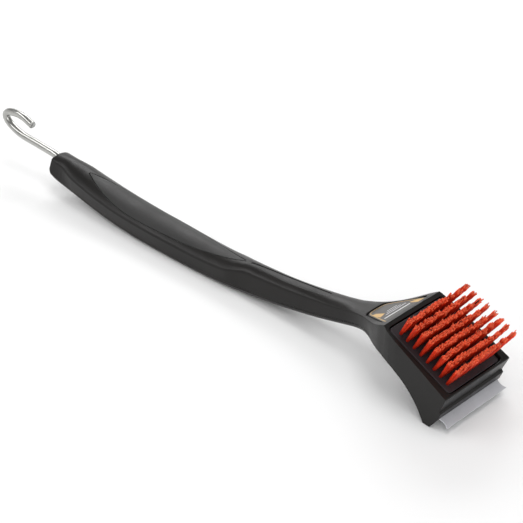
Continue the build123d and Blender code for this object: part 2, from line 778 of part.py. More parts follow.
with BuildPart() as cartridge_base:
    extrude(cartridge_outline(-platform_level, 0), amount=base_bottom + platform_level)
    fillet(cartridge_base.edges().group_by(Axis(face_plane.origin, face_plane.z_dir))[-1], platform_edge)
    extrude(
        cartridge_outline(-platform_level - platform_thickness, shell_wall),
        amount=base_bottom + platform_level + platform_thickness,
        mode=Mode.SUBTRACT,
    )
    with BuildSketch(level_plane(base_bottom + back_plate_height)):
        with Locations(back_screw_spots):
            Circle(boss_radius)
    extrude(amount=boss_height)
    with BuildSketch(level_plane(base_bottom)):
        with Locations(back_screw_spots):
            Circle(back_screw_radius + 0.02)
    extrude(amount=boss_hole_depth, mode=Mode.SUBTRACT)
    for bristle_row_part in bristle_rows:
        add(bristle_row_part, mode=Mode.SUBTRACT)
    add(tuft_staples.part, mode=Mode.SUBTRACT)
cartridge_base.part.label = "cartridge_base"
export_step(cartridge_base.part, "parts/cartridge_base.step")

with BuildPart() as cartridge_back:
    extrude(cartridge_outline(base_bottom, shell_wall + 0.1), amount=back_plate_height)
    with BuildSketch(level_plane(base_bottom)):
        with Locations(back_screw_spots):
            Circle(back_screw_radius + 0.1)
    extrude(amount=back_plate_height, mode=Mode.SUBTRACT)
    with BuildSketch(level_plane(base_bottom)):
        with Locations(back_screw_spots):
            Circle(back_screw_head + 0.15)
    extrude(amount=back_screw_seat - base_bottom, mode=Mode.SUBTRACT)
cartridge_back.part.label = "cartridge_back"
export_step(cartridge_back.part, "parts/cartridge_back.step")
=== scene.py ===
import json
import math

import bpy
import numpy as np
from mathutils import Matrix, Vector


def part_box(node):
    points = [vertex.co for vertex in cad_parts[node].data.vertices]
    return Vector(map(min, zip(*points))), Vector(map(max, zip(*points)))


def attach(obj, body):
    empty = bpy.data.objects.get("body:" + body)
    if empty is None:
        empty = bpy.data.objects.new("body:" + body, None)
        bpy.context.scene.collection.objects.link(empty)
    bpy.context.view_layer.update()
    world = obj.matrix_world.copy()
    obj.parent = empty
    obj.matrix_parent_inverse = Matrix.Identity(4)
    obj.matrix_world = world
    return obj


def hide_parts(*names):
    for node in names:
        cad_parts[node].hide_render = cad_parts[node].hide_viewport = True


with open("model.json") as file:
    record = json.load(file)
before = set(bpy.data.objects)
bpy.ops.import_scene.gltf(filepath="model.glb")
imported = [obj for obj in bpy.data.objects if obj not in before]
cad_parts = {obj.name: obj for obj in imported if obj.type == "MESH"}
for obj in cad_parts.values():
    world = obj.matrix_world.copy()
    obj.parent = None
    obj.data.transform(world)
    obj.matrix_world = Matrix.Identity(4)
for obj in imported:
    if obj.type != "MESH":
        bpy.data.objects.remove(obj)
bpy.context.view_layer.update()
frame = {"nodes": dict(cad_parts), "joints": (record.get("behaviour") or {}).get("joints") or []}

MM = 0.001
NODES = frame["nodes"]
SHELL_NODES = ("upper_shell", "lower_shell", "head_cover", "scraper_bar")
CARTRIDGE_NODES = ("cartridge_base", "cartridge_back", "release_catch")
SCREW_NODES = ("hook_pin", "scraper_screws", "shell_screws", "cover_screws", "back_screws", "tuft_staples")

# ---- the head's own axes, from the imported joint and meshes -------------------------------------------
LIFT = next(j for j in frame["joints"] if j["name"] == "cartridge_lift")
FACE_UP = Vector(LIFT["axis"]).normalized()
ACROSS = Vector((0, 1, 0))
FACE_ALONG = ACROSS.cross(FACE_UP).normalized()


def local_points(node):
    """Vertices of a CAD node along the head's face, across it and above it."""
    points = np.array([v.co for v in NODES[node].data.vertices])
    return points @ np.array([FACE_ALONG, ACROSS, FACE_UP]).T


def groups_of(values, gap):
    """Middles of the clusters of values that lie more than gap apart."""
    values = np.sort(values)
    pieces = np.split(values, np.nonzero(np.diff(values) > gap)[0] + 1)
    return [float(piece.min() + piece.max()) / 2 for piece in pieces]


# ---- node helpers ------------------------------------------------------------------------------------
class Tree:
    """Short calls for building one material's nodes."""

    def __init__(self, name):
        self.material = bpy.data.materials.new(name)
        self.material.use_nodes = True
        self.nodes = self.material.node_tree.nodes
        self.links = self.material.node_tree.links
        self.shader = self.nodes["Principled BSDF"]
        self.position = self.nodes.new("ShaderNodeTexCoord").outputs["Object"]

    def link(self, value, socket):
        if isinstance(value, bpy.types.NodeSocket):
            self.links.new(value, socket)
        else:
            socket.default_value = value

    def math(self, operation, first, second=0.0, clamp=False):
        node = self.nodes.new("ShaderNodeMath")
        node.operation = operation
        node.use_clamp = clamp
        self.link(first, node.inputs[0])
        self.link(second, node.inputs[1])
        return node.outputs[0]

    def stretched(self, scale, turn=(0, 0, 0)):
        """Object coordinates, turned and scaled."""
        node = self.nodes.new("ShaderNodeMapping")
        node.inputs["Scale"].default_value = scale
        node.inputs["Rotation"].default_value = turn
        self.link(self.position, node.inputs["Vector"])
        return node.outputs[0]

    def noise(self, scale, detail=3.0, roughness=0.5, vector=None):
        node = self.nodes.new("ShaderNodeTexNoise")
        node.inputs["Scale"].default_value = scale
        node.inputs["Detail"].default_value = detail
        node.inputs["Roughness"].default_value = roughness
        self.link(vector or self.position, node.inputs["Vector"])
        return node.outputs["Fac"]

    def cells(self, scale, vector=None):
        node = self.nodes.new("ShaderNodeTexVoronoi")
        node.inputs["Scale"].default_value = scale
        self.link(vector or self.position, node.inputs["Vector"])
        return node.outputs["Distance"]

    def ramp(self, factor, stops):
        """Colour ramp through (place, colour) stops."""
        node = self.nodes.new("ShaderNodeValToRGB")
        while len(node.color_ramp.elements) < len(stops):
            node.color_ramp.elements.new(0.5)
        for element, (place, colour) in zip(node.color_ramp.elements, stops):
            element.position = place
            element.color = (*colour, 1.0)
        self.link(factor, node.inputs["Fac"])
        return node.outputs["Color"]

    def span(self, value, low, high, out_low=0.0, out_high=1.0):
        """value from low..high to out_low..out_high, clamped."""
        node = self.nodes.new("ShaderNodeMapRange")
        ends = {"From Min": low, "From Max": high, "To Min": out_low, "To Max": out_high}
        for name, number in ends.items():
            node.inputs[name].default_value = number
        self.link(value, node.inputs["Value"])
        return node.outputs["Result"]

    def mix(self, factor, first, second):
        node = self.nodes.new("ShaderNodeMix")
        node.data_type = "RGBA"
        self.link(factor, node.inputs[0])
        for value, socket in ((first, node.inputs[6]), (second, node.inputs[7])):
            self.link((*value, 1.0) if isinstance(value, tuple) else value, socket)
        return node.outputs[2]

    def bump(self, height, distance, strength=1.0, normal=None):
        node = self.nodes.new("ShaderNodeBump")
        node.inputs["Strength"].default_value = strength
        node.inputs["Distance"].default_value = distance
        self.link(height, node.inputs["Height"])
        if normal is not None:
            self.link(normal, node.inputs["Normal"])
        return node.outputs["Normal"]

    def attribute(self, name):
        node = self.nodes.new("ShaderNodeAttribute")
        node.attribute_name = name
        return node.outputs["Fac"]

    def worn_edges(self, radius):
        """1 on sharp edges, 0 on flats: how far a rounded normal leans from the true one."""
        rounded = self.nodes.new("ShaderNodeBevel")
        rounded.samples = 6
        rounded.inputs["Radius"].default_value = radius
        true_normal = self.nodes.new("ShaderNodeNewGeometry").outputs["Normal"]
        dot = self.nodes.new("ShaderNodeVectorMath")
        dot.operation = "DOT_PRODUCT"
        self.link(rounded.outputs["Normal"], dot.inputs[0])
        self.link(true_normal, dot.inputs[1])
        return self.span(dot.outputs["Value"], 0.97, 0.80)

    def finish(self, colour, roughness, normal=None, metallic=0.0):
        self.link(colour, self.shader.inputs["Base Color"])
        self.link(roughness, self.shader.inputs["Roughness"])
        self.shader.inputs["Metallic"].default_value = metallic
        if normal is not None:
            self.link(normal, self.shader.inputs["Normal"])
        return self.material


def moulded_plastic(name, dark, light, rough_low, rough_high, grain=1.0):
    """Spark-eroded moulded plastic: fine even grain, faint mottling, rub marks and paler edges."""
    tree = Tree(name)
    mottle = tree.noise(26.0, 4.0, 0.6)
    grain_noise = tree.noise(2600.0, 2.0, 0.6)
    cells = tree.cells(1700.0)
    rubs = tree.noise(60.0, 5.0, 0.65, tree.stretched((0.35, 2.2, 2.2)))
    scratches = tree.noise(420.0, 3.0, 0.7, tree.stretched((0.12, 1.6, 1.6), (0.2, 0.1, 0.5)))
    edge = tree.math("MULTIPLY", tree.worn_edges(0.0006), tree.span(rubs, 0.35, 0.65, 0.25, 1.0))
    base = tree.ramp(tree.span(mottle, 0.3, 0.7), [(0.0, dark), (1.0, light)])
    base = tree.mix(tree.math("MULTIPLY", edge, 0.35), base, tuple(2.6 * c for c in light))
    scratch = tree.span(scratches, 0.68, 0.76)
    base = tree.mix(tree.math("MULTIPLY", scratch, 0.10), base, tuple(3.0 * c for c in light))
    rough = tree.span(rubs, 0.3, 0.7, rough_high, rough_low)
    rough = tree.math("ADD", rough, tree.math("MULTIPLY", scratch, 0.08), clamp=True)
    rough = tree.math("SUBTRACT", rough, tree.math("MULTIPLY", edge, 0.06), clamp=True)
    height = tree.math("ADD", grain_noise, tree.math("MULTIPLY", cells, 0.6))
    normal = tree.bump(height, 0.00005 * grain, 0.55)
    normal = tree.bump(mottle, 0.0004, 0.10, normal)
    tree.shader.inputs["Specular IOR Level"].default_value = 0.24
    return tree.finish(base, rough, normal)


def soft_rubber(name):
    """Soft grip: matt, closely pebbled, a little lighter than the hard shell."""
    tree = Tree(name)
    pebbles = tree.cells(1150.0)
    fine = tree.noise(3200.0, 2.0)
    mottle = tree.noise(34.0, 4.0, 0.6)
    tones = [(0.0, (0.0078, 0.0074, 0.0072)), (1.0, (0.0125, 0.0119, 0.0115))]
    base = tree.ramp(tree.span(mottle, 0.3, 0.7), tones)
    dust = tree.span(pebbles, 0.45, 0.75)
    base = tree.mix(tree.math("MULTIPLY", dust, 0.16), base, (0.05, 0.048, 0.046))
    rough = tree.span(mottle, 0.3, 0.7, 0.50, 0.62)
    height = tree.math("ADD", tree.math("MULTIPLY", pebbles, -1.0), tree.math("MULTIPLY", fine, 0.35))
    normal = tree.bump(height, 0.00009, 0.6)
    return tree.finish(base, rough, normal)


def drawn_wire(name):
    """Bright drawn wire: fine lengthwise lines, faint smudges."""
    tree = Tree(name)
    lines = tree.noise(2200.0, 3.0, 0.6, tree.stretched((0.04, 1.0, 1.0)))
    smudge = tree.noise(70.0, 4.0, 0.6)
    base = tree.ramp(tree.span(smudge, 0.3, 0.7), [(0.0, (0.36, 0.36, 0.345)), (1.0, (0.48, 0.48, 0.46))])
    rough = tree.math("ADD", tree.span(smudge, 0.3, 0.7, 0.14, 0.26), tree.math("MULTIPLY", lines, 0.08))
    normal = tree.bump(lines, 0.00003, 0.35)
    return tree.finish(base, rough, normal, 1.0)


def brushed_sheet(name):
    """Stainless sheet, brushed along the blade's length, with light scuffs."""
    tree = Tree(name)
    brushed = tree.noise(900.0, 4.0, 0.7, tree.stretched((1.0, 0.02, 1.0)))
    broad = tree.noise(45.0, 4.0, 0.6)
    scuffs = tree.noise(300.0, 3.0, 0.7, tree.stretched((0.15, 1.4, 1.0), (0, 0, 0.4)))
    base = tree.ramp(tree.span(broad, 0.3, 0.7), [(0.0, (0.60, 0.60, 0.63)), (1.0, (0.70, 0.70, 0.74))])
    scuff = tree.span(scuffs, 0.66, 0.78)
    base = tree.mix(tree.math("MULTIPLY", scuff, 0.35), base, (0.34, 0.34, 0.36))
    rough = tree.math("ADD", tree.span(brushed, 0.25, 0.75, 0.40, 0.54), tree.math("MULTIPLY", scuff, 0.1))
    normal = tree.bump(brushed, 0.00004, 0.4)
    return tree.finish(base, rough, normal, 0.45)


def zinc_screw(name):
    """Zinc-plated fastener with a faint yellow cast and stains."""
    tree = Tree(name)
    stains = tree.noise(320.0, 4.0, 0.65)
    base = tree.ramp(tree.span(stains, 0.3, 0.7), [(0.0, (0.33, 0.33, 0.32)), (1.0, (0.52, 0.52, 0.49))])
    rough = tree.span(stains, 0.3, 0.7, 0.42, 0.28)
    return tree.finish(base, rough, tree.bump(tree.noise(1500.0), 0.00003, 0.4), 1.0)


def nylon_filament(name):
    """Red-orange nylon with a tint of its own for every filament; painted shade darkens it to deep red at
    the roots, and a painted highlight makes the upper part and the tips paler.
    """
    tree = Tree(name)
    along, tint = tree.attribute("along"), tree.attribute("tint")
    # The ramp along each filament is painted light: painted shade at the roots, deep in the tuft, rising to
    # a painted highlight on the tips.
    root_painted_shade, middle = (0.36, 0.010, 0.002), (0.64, 0.034, 0.007)
    upper_painted_light, tip_painted_highlight = (0.74, 0.036, 0.006), (0.88, 0.13, 0.050)
    # Colour from the painted shade at the root to the painted highlight at the tip.
    body = tree.ramp(along, [(0.0, root_painted_shade), (0.4, middle), (0.9, upper_painted_light), (0.98, tip_painted_highlight)])
    dusty = tree.noise(900.0, 3.0, 0.6)
    shade = tree.math("ADD", tree.span(tint, 0.0, 1.0, 0.66, 1.10), tree.span(dusty, 0.3, 0.7, -0.06, 0.06))
    shade = tree.math("MULTIPLY", shade, tree.span(tint, 0.006, 0.01, 0.10, 1.0))
    scaled = tree.nodes.new("ShaderNodeVectorMath")
    scaled.operation = "SCALE"
    tree.link(body, scaled.inputs[0])
    tree.link(shade, scaled.inputs["Scale"])
    rough = tree.span(tint, 0.0, 1.0, 0.42, 0.58)
    normal = tree.bump(tree.noise(2400.0, 2.0), 0.00004, 0.3)
    tree.shader.inputs["Specular IOR Level"].default_value = 0.25
    return tree.finish(scaled.outputs[0], rough, normal)


def printed_plate(name, colour, spread, metallic, rough):
    """Printed nameplate surface: slightly uneven ink with a fine screen."""
    tree = Tree(name)
    cloud = tree.noise(180.0, 4.0, 0.6)
    darker = tuple(c * (1 - spread) for c in colour)
    lighter = tuple(c * (1 + spread) for c in colour)
    base = tree.mix(tree.span(cloud, 0.3, 0.7), darker, lighter)
    roughness = tree.span(cloud, 0.3, 0.7, rough, rough + 0.12)
    return tree.finish(base, roughness, tree.bump(tree.noise(1800.0), 0.00002, 0.3), metallic)


SHELL = moulded_plastic("shell_plastic", (0.0076, 0.0068, 0.0063), (0.0120, 0.0108, 0.0100), 0.30, 0.40)
CARTRIDGE = moulded_plastic(
    "cartridge_plastic", (0.0240, 0.0190, 0.0215), (0.0360, 0.0285, 0.0320), 0.36, 0.46, 0.8
)
RUBBER = soft_rubber("soft_grip")
WIRE = drawn_wire("hook_wire")
SHEET = brushed_sheet("blade_sheet")
ZINC = zinc_screw("zinc_screw")
NYLON = nylon_filament("bristle_nylon")
PLATE_GREY = printed_plate("plate_grey", (0.085, 0.080, 0.075), 0.2, 0.4, 0.34)
PLATE_GOLD = printed_plate("plate_gold", (0.64, 0.41, 0.15), 0.14, 0.7, 0.30)
PLATE_WHITE = printed_plate("plate_white", (0.72, 0.72, 0.74), 0.08, 0.1, 0.34)


# ---- finish of the CAD nodes that stay ---------------------------------------------------------------
def finish_group(name, sharp_angle, round_angle, shortest):
    """Geometry nodes for a CAD node: joins its faces, smooths it, keeps the edges sharper than sharp_angle.

    Marks for rounding the edges sharper than round_angle that have no sharp edge shorter than shortest
    beside them."""
    group = bpy.data.node_groups.new(name, "GeometryNodeTree")
    group.interface.new_socket("Geometry", in_out="INPUT", socket_type="NodeSocketGeometry")
    group.interface.new_socket("Geometry", in_out="OUTPUT", socket_type="NodeSocketGeometry")
    link = group.links.new

    def add(kind, **settings):
        node = group.nodes.new(kind)
        for setting, value in settings.items():
            setattr(node, setting, value)
        return node

    def above(value, level):
        node = add("FunctionNodeCompare", operation="GREATER_THAN")
        link(value, node.inputs["A"])
        node.inputs["B"].default_value = level
        return node.outputs["Result"]

    def combine(operation, first, second):
        node = add("ShaderNodeMath", operation=operation)
        link(first, node.inputs[0])
        if isinstance(second, (int, float)):
            node.inputs[1].default_value = second
        else:
            link(second, node.inputs[1])
        return node.outputs[0]

    def averaged(value, domain):
        node = add("GeometryNodeFieldOnDomain", domain=domain, data_type="FLOAT")
        link(value, node.inputs[0])
        return node.outputs[0]

    start, end = add("NodeGroupInput"), add("NodeGroupOutput")
    bare = add("GeometryNodeRemoveAttribute")
    bare.inputs["Name"].default_value = "custom_normal"
    merge = add("GeometryNodeMergeByDistance")
    merge.inputs["Distance"].default_value = 0.02 * MM
    faces = add("GeometryNodeSetShadeSmooth", domain="FACE")
    edges = add("GeometryNodeSetShadeSmooth", domain="EDGE")
    edges.inputs["Shade Smooth"].default_value = False
    turn = add("GeometryNodeInputMeshEdgeAngle").outputs["Unsigned Angle"]
    ends = add("GeometryNodeInputMeshEdgeVertices")
    apart = add("ShaderNodeVectorMath", operation="DISTANCE")
    link(ends.outputs["Position 1"], apart.inputs[0])
    link(ends.outputs["Position 2"], apart.inputs[1])
    rounded = above(turn, round_angle)
    short = combine("SUBTRACT", rounded, above(apart.outputs["Value"], shortest))
    beside = averaged(averaged(combine("MAXIMUM", short, 0.0), "EDGE"), "POINT")
    weight = combine("SUBTRACT", rounded, above(beside, 0.001))
    mark = add("GeometryNodeStoreNamedAttribute", data_type="FLOAT", domain="EDGE")
    mark.inputs["Name"].default_value = "bevel_weight_edge"
    link(combine("MAXIMUM", weight, 0.0), mark.inputs["Value"])
    link(start.outputs[0], bare.inputs["Geometry"])
    link(bare.outputs["Geometry"], merge.inputs["Geometry"])
    link(merge.outputs["Geometry"], faces.inputs["Geometry"])
    link(faces.outputs["Geometry"], edges.inputs["Geometry"])
    link(above(turn, sharp_angle), edges.inputs["Selection"])
    link(edges.outputs["Geometry"], mark.inputs["Geometry"])
    link(mark.outputs["Geometry"], end.inputs[0])
    return group


SMOOTHED = finish_group("smoothed", math.radians(24), math.radians(28), 0.5 * MM)


def dress(node, material, edge=0.0):
    """Gives a CAD node its material, smooth shading and edges rounded by edge metres."""
    thing = NODES[node]
    thing.data.materials.clear()
    thing.data.materials.append(material)
    smooth = thing.modifiers.new("smoothed", "NODES")
    smooth.node_group = SMOOTHED
    if edge:
        bevel = thing.modifiers.new("rounded", "BEVEL")
        bevel.width = edge
        bevel.segments = 2
        bevel.limit_method = "WEIGHT"
        bevel.use_clamp_overlap = False
        bevel.harden_normals = True
        bevel.loop_slide = False
    weighted = thing.modifiers.new("weighted", "WEIGHTED_NORMAL")
    weighted.mode = "FACE_AREA"
    weighted.keep_sharp = True
    return thing


for shell_node in SHELL_NODES:
    dress(shell_node, SHELL, 0.35 * MM)
for cartridge_node in CARTRIDGE_NODES:
    dress(cartridge_node, CARTRIDGE, 0.2 * MM)
for screw_node in SCREW_NODES:
    dress(screw_node, ZINC)
dress("grip_inlay", RUBBER, 0.3 * MM)
dress("neck_strip", RUBBER, 0.25 * MM)
dress("scraper_blade", SHEET, 0.12 * MM)


def new_piece(name, points, faces, material, body, replaced=()):
    """One mesh piece that rides on a CAD body."""
    mesh = bpy.data.meshes.new(name)
    mesh.from_pydata([tuple(p) for p in points], [], faces)
    mesh.update()
    mesh.materials.append(material)
    mesh.polygons.foreach_set("use_smooth", [True] * len(mesh.polygons))
    thing = bpy.data.objects.new(name, mesh)
    bpy.context.scene.collection.objects.link(thing)
    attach(thing, body)
    if replaced:
        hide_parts(*replaced)
    return thing


# ---- bristles ----------------------------------------------------------------------------------------
FILAMENTS = 19             # in a tuft
FILAMENT_SIDES = 5
FILAMENT_STEPS = 11
FILAMENT_RADIUS = 0.45 * MM
TUFT_ROOT = 1.0 * MM       # filaments spread inside this radius at the hole
TUFT_SPREAD = 1.55 * MM    # and by this much more at the tips
ROW_TIGHTNESS = 0.60       # the spread along the head, as a share of the spread along the row
TUFT_LENGTH = 21.4 * MM
ROOT_SUNK = 2.8 * MM
STAPLE_HALF = 1.0 * MM
CRIMP = 0.14 * MM
ROW_LEAN = 4.0             # degrees, towards the scraper
SIDE_LEANS = (-6.0, -1.0, 0.0, 0.0, 0.0, 0.0, 0.0, 0.0, 0.0, 2.2, 9.0, 19.5, 34.0)
LEAN_SCATTER = 1.0         # degrees, the same for both leans
GOLDEN_TURN = 2.39996      # radians between one filament of a tuft and the next
FULL_TURN = 6.28
CRIMP_PITCH = (4.4, 6.0)   # millimetres
FAN_SCATTER = 0.28 * MM
FAN_BEND = 1.3             # above 1 the filaments part mostly near their tips
SHORTEST_SHARE = 0.12      # by which a filament may fall short of its tuft
TUFT_SHORT_SHARE = 0.05    # and a whole tuft of the others
TIP_TAPER = 0.85

staples = local_points("tuft_staples")
row_alongs = groups_of(staples[:, 0], 2.0 * MM)
across_low, across_high = staples[:, 1].min() + STAPLE_HALF, staples[:, 1].max() - STAPLE_HALF
tuft_acrosses = np.linspace(across_low, across_high, len(SIDE_LEANS))
platform = local_points("cartridge_base")[:, 2].max()
rng = np.random.default_rng(7)


def tuft_filaments(along, across, side_lean):
    """Centre lines of one tuft's filaments, in the head's axes."""
    count = FILAMENTS
    turns = np.arange(count) * GOLDEN_TURN + rng.uniform(0, FULL_TURN)
    reach = np.sqrt((np.arange(count) + 0.5) / count)
    disc = np.stack([np.cos(turns), np.sin(turns)], 1) * reach[:, None]
    lean = np.radians([ROW_LEAN + rng.normal(0, LEAN_SCATTER), side_lean + rng.normal(0, LEAN_SCATTER)])
    upright = np.array([math.tan(lean[0]), math.tan(lean[1]), 1.0])
    upright /= np.linalg.norm(upright)
    shortened = 1 - SHORTEST_SHARE * rng.random(count) ** 1.2 - TUFT_SHORT_SHARE * rng.random()
    length = TUFT_LENGTH / math.cos(lean[1]) * shortened
    steps = np.linspace(0, 1, FILAMENT_STEPS)
    waves = rng.uniform(0, FULL_TURN, (count, 2))
    pitch = rng.uniform(*CRIMP_PITCH, count) * MM
    fan = disc * TUFT_SPREAD + rng.normal(0, FAN_SCATTER, (count, 2))
    fan[:, 0] *= ROW_TIGHTNESS
    lines = np.zeros((count, FILAMENT_STEPS + 1, 3))
    lines[:, 0, :2] = disc * TUFT_ROOT * 0.8
    lines[:, 0, 2] = -ROOT_SUNK
    run = steps[None, :] * length[:, None]
    lines[:, 1:, :] = upright * run[..., None]
    bent = steps[None, :] ** FAN_BEND
    for axis in (0, 1):
        wave = np.sin(run / pitch[:, None] * FULL_TURN + waves[:, axis, None])
        crimp = wave * CRIMP * np.minimum(1, steps * 4)
        lines[:, 1:, axis] += disc[:, axis, None] * TUFT_ROOT + fan[:, axis, None] * bent + crimp
    lines += np.array([along, across, platform])
    return lines


def tube_mesh(lines, radii, sides):
    """Vertices and faces of closed tubes along lines (count, steps, 3) with radii (count, steps)."""
    count, steps = radii.shape
    direction = np.gradient(lines, axis=1)
    direction /= np.linalg.norm(direction, axis=2, keepdims=True)
    helper = np.zeros_like(direction)
    helper[..., 0 if abs(direction[..., 0]).max() < 0.9 else 1] = 1.0
    first = np.cross(direction, helper)
    first /= np.linalg.norm(first, axis=2, keepdims=True)
    second = np.cross(direction, first)
    turn = np.arange(sides) * 2 * math.pi / sides
    ring = first[:, :, None] * np.cos(turn)[:, None] + second[:, :, None] * np.sin(turn)[:, None]
    points = lines[:, :, None] + ring * radii[:, :, None, None]
    faces = []
    for tube in range(count):
        start = tube * steps * sides
        for step in range(steps - 1):
            low = start + step * sides
            for side in range(sides):
                ahead = (side + 1) % sides
                faces.append((low + side, low + ahead, low + sides + ahead, low + sides + side))
        faces.append(tuple(start + side for side in reversed(range(sides))))
        faces.append(tuple(start + (steps - 1) * sides + side for side in range(sides)))
    return points.reshape(-1, 3), faces


face_axes = np.array([FACE_ALONG, ACROSS, FACE_UP])
for row, along in enumerate(row_alongs):
    tufts = [tuft_filaments(along, across, lean) for across, lean in zip(tuft_acrosses, SIDE_LEANS)]
    lines = np.concatenate(tufts)
    profile = np.full(FILAMENT_STEPS + 1, 1.0)
    profile[-1] = TIP_TAPER
    radii = FILAMENT_RADIUS * profile[None, :] * rng.uniform(0.86, 1.12, (len(lines), 1))
    points, faces = tube_mesh(lines, radii, FILAMENT_SIDES)
    name = f"bristle_row_{row + 1}"
    piece = new_piece(
        name + "_filaments", points @ face_axes, faces, NYLON, "cartridge", (name,)
    )
    ring_share = np.concatenate([[0.0], np.linspace(0, 1, FILAMENT_STEPS)])
    shares = np.tile(np.repeat(ring_share, FILAMENT_SIDES), len(lines))
    tints = np.repeat(rng.random(len(lines)), (FILAMENT_STEPS + 1) * FILAMENT_SIDES)
    for label, values in (("along", shares), ("tint", tints)):
        stored = piece.data.attributes.new(label, "FLOAT", "POINT")
        stored.data.foreach_set("value", values.astype(np.float32))


# ---- hanging hook: one bent wire ---------------------------------------------------------------------
WIRE_RADIUS = 3.3 * MM
WIRE_SIDES = 24
# Centre line in millimetres: forward from the wire's rearmost point, and down from the box's top.
HOOK_LINE = (
    (104.0, 34.2), (85.0, 29.0), (70.0, 24.9), (56.0, 23.9), (42.0, 23.2), (27.0, 22.6), (17.0, 20.6),
    (9.0, 17.4), (4.4, 13.4), (3.8, 9.4), (7.6, 6.0), (14.6, 4.1), (22.0, 3.4), (28.6, 3.9), (34.6, 5.6),
    (40.4, 7.6),
)


def smooth_line(points, parts):
    """Points on a smooth curve through the given ones, with parts steps between each two."""
    points = np.array(points, float)
    ends = np.vstack([2 * points[0] - points[1], points, 2 * points[-1] - points[-2]])
    found = []
    for before, here, ahead, after in zip(ends, ends[1:], ends[2:], ends[3:]):
        for t in np.arange(parts) / parts:
            slope_here, slope_ahead = (ahead - before) / 2, (after - here) / 2
            found.append(
                (1 + 2 * t) * (1 - t) ** 2 * here
                + t * (1 - t) ** 2 * slope_here
                + t**2 * (3 - 2 * t) * ahead
                + t**2 * (t - 1) * slope_ahead
            )
    return np.array(found + [points[-1]])


hook_low, hook_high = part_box("hanging_hook")
wire = smooth_line(HOOK_LINE, 8) * MM
wire_line = np.stack([hook_low.x + wire[:, 0], np.zeros(len(wire)), hook_high.z - wire[:, 1]], 1)
wire_radii = np.full(len(wire), WIRE_RADIUS)
wire_radii[-1] *= 0.82
points, faces = tube_mesh(wire_line[None], wire_radii[None], WIRE_SIDES)
new_piece("hook_wire", points, faces, WIRE, "handle", ("hanging_hook",))


# ---- nameplate: plain printed plate with a gold border, gold corners and bars, no lettering ------------
plate_mesh = NODES["nameplate"].data
plate_up = max((f for f in plate_mesh.polygons if f.normal.z > 0.3), key=lambda f: f.area).normal.copy()
plate_along = ACROSS.cross(plate_up).normalized()
plate_axes = np.array([plate_along, ACROSS, plate_up])
plate_points = np.array([v.co for v in plate_mesh.vertices]) @ plate_axes.T
plate_rear, plate_front = plate_points[:, 0].min(), plate_points[:, 0].max()
plate_bottom, plate_top = plate_points[:, 2].min(), plate_points[:, 2].max()
plate_front_half = plate_points[:, 1].max()
PLATE_NARROWING = (26.5 - 11.6) / 33.2   # loss of half width along the plate's length
PLATE_REAR_CORNER, PLATE_FRONT_CORNER = 6.6 * MM, 4.4 * MM
PLATE_RECESS = 0.08 * MM   # depth of the printed field below the rim
BORDER_RISE = 0.05 * MM


def plate_ring(inset, height, steps=6):
    """Rounded trapezoid outline, inset from the plate's edge, at a height above its back."""
    rear, front = plate_rear + inset, plate_front - inset
    side = inset * math.hypot(1, PLATE_NARROWING)
    front_half = plate_front_half - side - inset * PLATE_NARROWING
    rear_half = front_half - (front - rear) * PLATE_NARROWING
    corners = [(rear, -rear_half), (front, -front_half), (front, front_half), (rear, rear_half)]
    ring = []
    for i, corner in enumerate(corners):
        radius = (PLATE_REAR_CORNER if i in (0, 3) else PLATE_FRONT_CORNER) - inset
        corner = np.array(corner)
        before, after = np.array(corners[i - 1]), np.array(corners[(i + 1) % 4])
        start = corner + (before - corner) / np.linalg.norm(before - corner) * radius
        end = corner + (after - corner) / np.linalg.norm(after - corner) * radius
        for t in np.linspace(0, 1, steps):
            flat = (1 - t) ** 2 * start + 2 * t * (1 - t) * corner + t**2 * end
            ring.append((flat[0], flat[1], height))
    return ring


def stacked(rings):
    """Vertices and faces of a closed solid whose outline goes through rings."""
    count = len(rings[0])
    points = [p for ring in rings for p in ring]
    faces = [tuple(reversed(range(count)))]
    for level in range(len(rings) - 1):
        low = level * count
        for i in range(count):
            ahead = (i + 1) % count
            faces.append((low + i, low + ahead, low + count + ahead, low + count + i))
    faces.append(tuple((len(rings) - 1) * count + i for i in range(count)))
    return np.array(points), faces


plate_rings = [
    plate_ring(0, plate_bottom),
    plate_ring(0, plate_top - 0.12 * MM),
    plate_ring(0.12 * MM, plate_top),
    plate_ring(1.1 * MM, plate_top),
    plate_ring(1.15 * MM, plate_top + BORDER_RISE),
    plate_ring(1.85 * MM, plate_top + BORDER_RISE),
    plate_ring(1.9 * MM, plate_top - PLATE_RECESS),
]
points, faces = stacked(plate_rings)
plate = new_piece(
    "nameplate_body", points @ plate_axes, faces, PLATE_GREY, "handle", ("nameplate",)
)
plate.data.materials.append(PLATE_GOLD)
ring_count = len(plate_rings[0])
# The first face is the back; the border's faces are the fourth and fifth strips after it.
for face in plate.data.polygons:
    face.use_smooth = False
    if 1 + 3 * ring_count <= face.index < 1 + 5 * ring_count:
        face.material_index = 1
plate_field = plate_top - PLATE_RECESS


def plate_patch(name, outline, material, rise):
    """Thin raised patch on the plate; its outline is in millimetres from the rear edge and across."""
    flat = [(plate_rear + a * MM, y * MM) for a, y in outline]
    middle = np.mean(flat, axis=0)
    rings = []
    foot, side, top = plate_field - 0.05 * MM, plate_field + rise * 0.6, plate_field + rise
    for inset, height in ((0, foot), (0, side), (0.05 * MM, top)):
        ring = []
        for point in np.array(flat):
            pull = (middle - point) / max(np.linalg.norm(middle - point), 1e-9) * inset
            ring.append((*(point + pull), height))
        rings.append(ring)
    points, faces = stacked(rings)
    piece = new_piece(name, points @ plate_axes, faces, material, "handle")
    for face in piece.data.polygons:
        face.use_smooth = False
    return piece


def bar_outline(rear, front, near, far, ends=5):
    """Bar across the plate with round ends."""
    half, middle = (front - rear) / 2, (front + rear) / 2
    turns = np.linspace(0, math.pi, ends)
    far_end = [(middle + half * math.cos(t), far - half + half * math.sin(t)) for t in turns]
    near_end = [(middle - half * math.cos(t), near + half - half * math.sin(t)) for t in turns]
    return far_end + near_end


